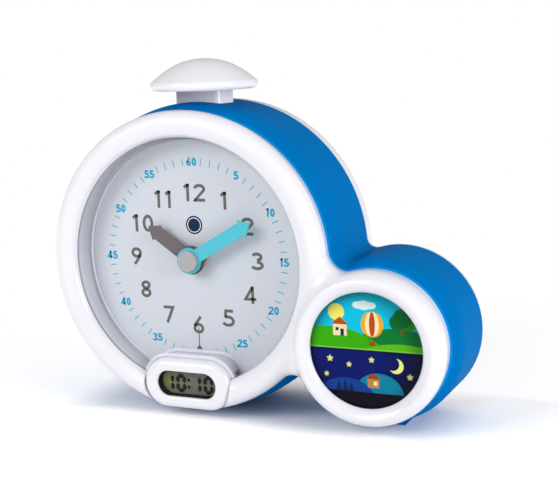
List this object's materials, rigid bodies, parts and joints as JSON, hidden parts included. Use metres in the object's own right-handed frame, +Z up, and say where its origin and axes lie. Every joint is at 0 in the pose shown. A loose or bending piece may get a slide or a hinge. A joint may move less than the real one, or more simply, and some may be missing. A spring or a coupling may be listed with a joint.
{
  "type": "alarm clock with night light",
  "caption": "Free-standing child's alarm clock: a large round lobe with dial, hands and display pod, joined to a small lit picture lobe, with a domed snooze button on top.",
  "frame": {"origin": "on the surface that the clock stands on, under the middle of its box", "axes": "+X to the right seen from the dial side, +Y towards the back, +Z up"},
  "size_m": [0.2264, 0.0804, 0.1879],
  "materials": {
    "white_plastic": "glossy moulded white",
    "blue_plastic": "satin moulded blue",
    "clear_plastic": "clear moulded plastic",
    "dial_face": "silvery printed sheet",
    "picture_print": "translucent printed picture",
    "light_box_plastic": "matt white",
    "minute_hand_paint": "turquoise painted",
    "hour_hand_paint": "grey-brown painted",
    "hub_cap_plastic": "light grey",
    "movement_plastic": "black moulded",
    "gear_plastic": "natural acetal",
    "nut_brass": "bright",
    "screw_steel": "zinc plated",
    "knob_plastic": "moulded grey",
    "button_plastic": "moulded blue",
    "coil_copper": "enamelled copper wire",
    "circuit_board": "green solder mask",
    "lcd_glass": "grey-green display",
    "holder_plastic": "black moulded",
    "lamp_resin": "clear resin",
    "guide_plastic": "moulded white",
    "spring_steel": "plated spring wire",
    "switch_body": "black moulded",
    "cell_jacket": "plain dark jacket",
    "speaker_steel": "black lacquered steel",
    "speaker_paper": "black pressed paper",
    "speaker_ferrite": "ferrite"
  },
  "bodies": {
    "clock_case": {"front_bezel": "white_plastic", "main_housing": "blue_plastic", "rear_cover": "white_plastic", "case_screws": "screw_steel", "dial_lens": "clear_plastic", "dial_plate": "dial_face", "dial_screws": "screw_steel", "movement_front": "movement_plastic", "movement_back": "movement_plastic", "movement_nut": "nut_brass", "movement_coil": "coil_copper", "movement_board": "circuit_board", "pod_frame": "white_plastic", "lcd_window": "clear_plastic", "lcd_holder": "holder_plastic", "lcd_panel": "lcd_glass", "lcd_board": "circuit_board", "night_lens": "clear_plastic", "picture_sheet": "picture_print", "light_box": "light_box_plastic", "light_box_screws": "screw_steel", "day_led": "lamp_resin", "night_led": "lamp_resin", "led_board": "circuit_board", "snooze_spring": "spring_steel", "snooze_board": "circuit_board", "snooze_board_screws": "screw_steel", "snooze_switch": "switch_body", "control_board": "circuit_board", "board_screws": "screw_steel", "board_switches": "switch_body", "mode_switch_body": "switch_body", "dc_jack": "switch_body", "battery_1": "cell_jacket", "battery_2": "cell_jacket", "battery_3": "cell_jacket", "battery_springs": "spring_steel", "battery_contacts": "spring_steel", "speaker_frame": "speaker_steel", "speaker_cone": "speaker_paper", "speaker_magnet": "speaker_ferrite", "speaker_screws": "screw_steel"},
    "snooze_plunger": {"snooze_button": "white_plastic", "snooze_retainer": "guide_plastic", "snooze_screws": "screw_steel"},
    "minute_train": {"cannon_pinion": "gear_plastic", "minute_hand": "minute_hand_paint", "hub_cap": "hub_cap_plastic"},
    "hour_train": {"hour_wheel": "gear_plastic", "hour_hand": "hour_hand_paint"},
    "intermediate_wheel": {"minute_wheel": "gear_plastic"},
    "setting_stem": {"set_pinion": "gear_plastic", "set_knob": "knob_plastic"},
    "battery_lid": {"battery_door": "white_plastic", "battery_door_screws": "screw_steel"},
    "mode_slider": {"mode_switch": "knob_plastic"},
    "hour_button_cap": {"hour_button": "button_plastic"},
    "minute_button_cap": {"minute_button": "button_plastic"},
    "alarm_button_cap": {"alarm_button": "button_plastic"},
    "light_button_cap": {"light_button": "button_plastic"}
  },
  "joints": [
    {"name": "minute_spin", "type": "hinge", "parent": "clock_case", "child": "minute_train", "pos_m": [-0.031, -0.01785, 0.0832], "axis": [0, 1, 0], "continuous": true},
    {"name": "hour_spin", "type": "hinge", "parent": "clock_case", "child": "hour_train", "pos_m": [-0.031, -0.01785, 0.0832], "axis": [0, 1, 0], "continuous": true},
    {"name": "intermediate_spin", "type": "hinge", "parent": "clock_case", "child": "intermediate_wheel", "pos_m": [-0.04312, -0.01325, 0.0762], "axis": [0, 1, 0], "continuous": true},
    {"name": "setting_spin", "type": "hinge", "parent": "clock_case", "child": "setting_stem", "pos_m": [-0.04555, -0.01325, 0.08999], "axis": [0, 1, 0], "continuous": true},
    {"name": "snooze_press", "type": "slide", "parent": "clock_case", "child": "snooze_plunger", "axis": [0, 0, -1], "range_m": [0, 0.0025], "stiffness_N_per_m": 400, "springref_m": -0.003, "deforming": ["snooze_spring"]},
    {"name": "battery_lid_off", "type": "slide", "parent": "clock_case", "child": "battery_lid", "axis": [0, 1, 0], "range_m": [0, 0.03]},
    {"name": "mode_slide", "type": "slide", "parent": "clock_case", "child": "mode_slider", "axis": [1, 0, 0], "range_m": [0, 0.004]},
    {"name": "hour_press", "type": "slide", "parent": "clock_case", "child": "hour_button_cap", "axis": [0, -1, 0], "range_m": [0, 0.0008], "stiffness_N_per_m": 900, "springref_m": -0.0005},
    {"name": "minute_press", "type": "slide", "parent": "clock_case", "child": "minute_button_cap", "axis": [0, -1, 0], "range_m": [0, 0.0008], "stiffness_N_per_m": 900, "springref_m": -0.0005},
    {"name": "alarm_press", "type": "slide", "parent": "clock_case", "child": "alarm_button_cap", "axis": [0, -1, 0], "range_m": [0, 0.0008], "stiffness_N_per_m": 900, "springref_m": -0.0005},
    {"name": "light_press", "type": "slide", "parent": "clock_case", "child": "light_button_cap", "axis": [0, -1, 0], "range_m": [0, 0.0008], "stiffness_N_per_m": 900, "springref_m": -0.0005}
  ],
  "couplings": [
    {"joint": "hour_spin", "follows": "minute_spin", "ratio": 0.083333},
    {"joint": "intermediate_spin", "follows": "minute_spin", "ratio": -0.33333},
    {"joint": "setting_spin", "follows": "minute_spin", "ratio": 1}
  ]
}
